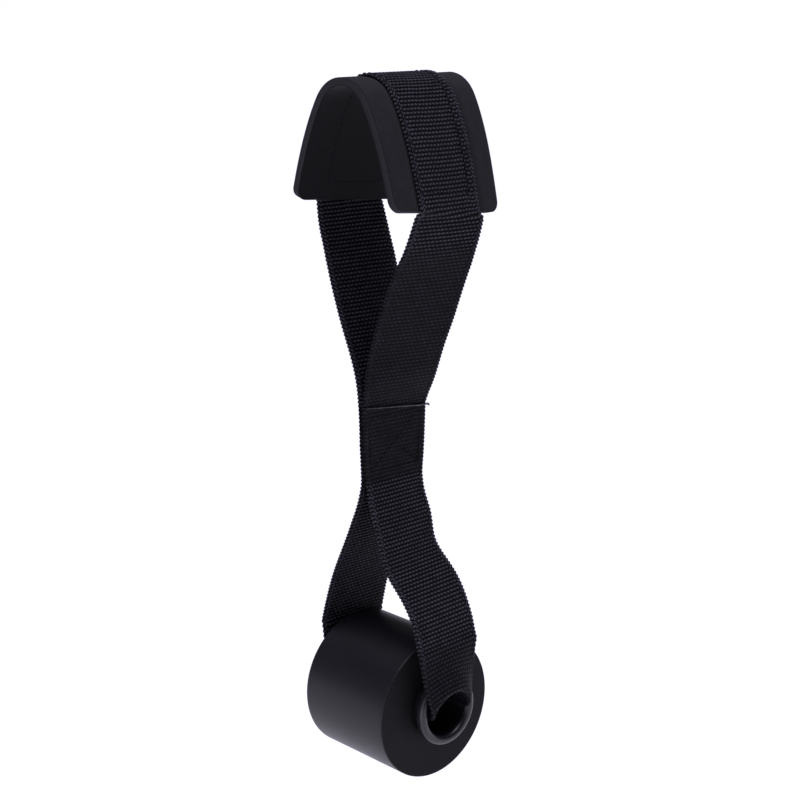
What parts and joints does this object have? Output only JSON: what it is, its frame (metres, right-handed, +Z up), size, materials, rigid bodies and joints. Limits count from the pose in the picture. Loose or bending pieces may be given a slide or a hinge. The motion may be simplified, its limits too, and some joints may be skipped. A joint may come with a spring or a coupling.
{
  "type": "padded hanging strap with foam roller",
  "caption": "Webbing strap sewn into a padded loop that hangs on a bar and a lower loop that carries a foam roller on a flanged core.",
  "frame": {"origin": "centre of the bar that the padded loop hangs on, midway along the pad's width", "axes": "+X along the bar, +Z up, -Y the front, where the strap's cut end laps over the waist"},
  "size_m": [0.066, 0.0746, 0.3127],
  "materials": {
    "webbing": "ribbed woven nylon",
    "neoprene_foam": "fine closed-cell foam, cut edge",
    "jersey": "fine nylon jersey",
    "thread": "bonded sewing thread",
    "roller_foam": "satin skin, matte cut ends",
    "core_plastic": "satin moulded plastic"
  },
  "bodies": {
    "saddle": {"webbing_upper_loop": "webbing", "pad_foam": "neoprene_foam", "pad_facing_jersey": "jersey", "pad_lining_jersey": "jersey", "pad_seam_needle_thread": "thread", "pad_seam_bobbin_thread": "thread"},
    "waist": {"waist_lapped_end": "webbing", "waist_hidden_end": "webbing", "waist_back_layer": "webbing", "waist_seam_needle_thread": "thread", "waist_seam_bobbin_thread": "thread"},
    "lower_loop": {"webbing_lower_loop": "webbing"},
    "roller": {"roller_foam": "roller_foam", "core_half_front": "core_plastic", "core_half_back": "core_plastic"}
  },
  "joints": [
    {"name": "waist_flex", "type": "hinge", "parent": "saddle", "child": "waist", "pos_m": [0, 0.0026, -0.1265], "axis": [1, 0, 0], "range_deg": [-40, 40]},
    {"name": "lower_loop_flex", "type": "hinge", "parent": "waist", "child": "lower_loop", "pos_m": [0, 0.0026, -0.1585], "axis": [1, 0, 0], "range_deg": [-40, 40]},
    {"name": "roller_spin", "type": "hinge", "parent": "lower_loop", "child": "roller", "pos_m": [0, 0.0003, -0.2599], "axis": [0, 1, 0], "continuous": true}
  ]
}
